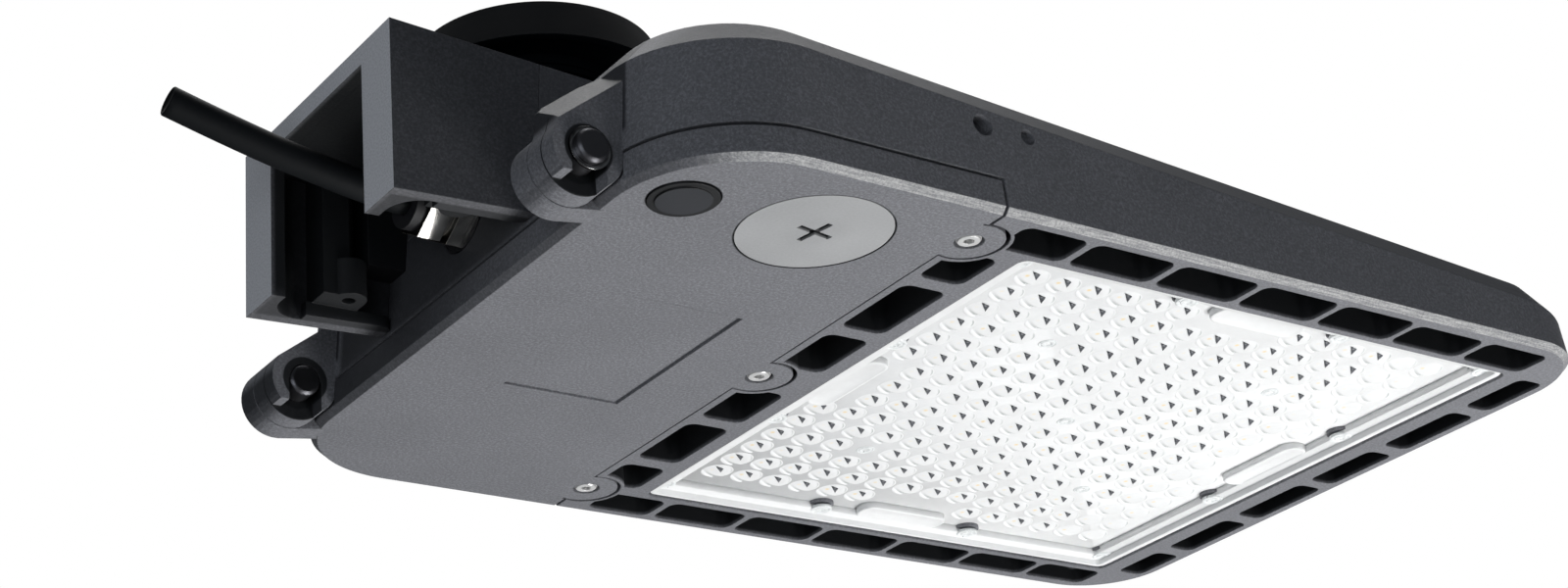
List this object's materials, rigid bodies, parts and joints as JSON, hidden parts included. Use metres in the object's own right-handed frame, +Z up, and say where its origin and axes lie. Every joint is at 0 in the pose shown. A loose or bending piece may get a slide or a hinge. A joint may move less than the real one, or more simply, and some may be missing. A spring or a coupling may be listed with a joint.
{
  "type": "shoebox area light",
  "caption": "Shoebox LED area light with a hinged driver door, square lens panel, short open pole arm, cable stub and twist-lock photocell.",
  "frame": {"origin": "middle of the arm's top wall on its pole end face, where the light meets the pole", "axes": "+X along the arm from the pole to the LED end, +Z up, the light shines towards -Z, +Y to the left seen from the pole"},
  "size_m": [0.4579, 0.2528, 0.1],
  "materials": {
    "cast_paint": "die cast, dark grey fine textured powder coat",
    "door_paint": "die cast, dark grey fine textured powder coat",
    "cover_plastic": "satin",
    "black_steel": "satin black",
    "steel": "plated",
    "chrome": "polished nickel",
    "black_rubber": "matte",
    "black_plastic": "satin",
    "white_silicone": "matte",
    "clear_plastic": "clear moulded",
    "board_white": "white solder mask",
    "led_phosphor": "phosphor",
    "driver_case": "satin",
    "white_plastic": "satin"
  },
  "bodies": {
    "fixture": {"housing": "cast_paint", "mounting_arm": "cast_paint", "arm_screws": "steel", "hinge_pins": "black_steel", "hinge_clips": "steel", "selector_switch": "white_plastic", "lens_panel": "clear_plastic", "lens_gasket": "white_silicone", "lens_screws": "steel", "led_board": "board_white", "led_chips": "led_phosphor", "driver": "driver_case", "driver_screws": "steel", "surge_protector": "black_plastic", "terminal_block": "white_plastic", "inner_wires": "black_rubber", "cable_gland": "chrome", "gland_nut": "chrome", "gland_seal": "black_rubber", "gland_washer": "black_rubber", "power_cable": "black_rubber", "photocell_receptacle": "black_plastic", "receptacle_gasket": "black_rubber", "receptacle_screws": "steel"},
    "door": {"driver_door": "door_paint", "door_gasket": "black_rubber"},
    "screw_near": {"door_screw_near": "steel"},
    "screw_mid": {"door_screw_mid": "steel"},
    "screw_far": {"door_screw_far": "steel"},
    "cover": {"sensor_cover": "cover_plastic", "cover_oring": "black_rubber"},
    "plug": {"selector_plug": "black_rubber"},
    "slider": {"selector_slider": "black_plastic"},
    "cell": {"photocell": "black_plastic"}
  },
  "joints": [
    {"name": "door_hinge", "type": "hinge", "parent": "fixture", "child": "door", "pos_m": [0.0351, 0, -0.05235], "axis": [0, 1, 0], "range_deg": [0, 95]},
    {"name": "cover_turn", "type": "hinge", "parent": "door", "child": "cover", "pos_m": [0.1094, -0.092, -0.0598], "axis": [0, 0, 1], "continuous": true},
    {"name": "plug_pull", "type": "slide", "parent": "door", "child": "plug", "axis": [0, 0, -1], "range_m": [0, 0.012]},
    {"name": "selector_slide", "type": "slide", "parent": "fixture", "child": "slider", "axis": [1, 0, 0], "range_m": [0, 0.005]},
    {"name": "photocell_twist", "type": "hinge", "parent": "fixture", "child": "cell", "pos_m": [0.077, 0, 0.0082], "axis": [0, 0, 1], "range_deg": [0, 20]},
    {"name": "screw_near_out", "type": "slide", "parent": "door", "child": "screw_near", "axis": [0, 0, -1], "range_m": [0, 0.006]},
    {"name": "screw_mid_out", "type": "slide", "parent": "door", "child": "screw_mid", "axis": [0, 0, -1], "range_m": [0, 0.006]},
    {"name": "screw_far_out", "type": "slide", "parent": "door", "child": "screw_far", "axis": [0, 0, -1], "range_m": [0, 0.006]}
  ]
}
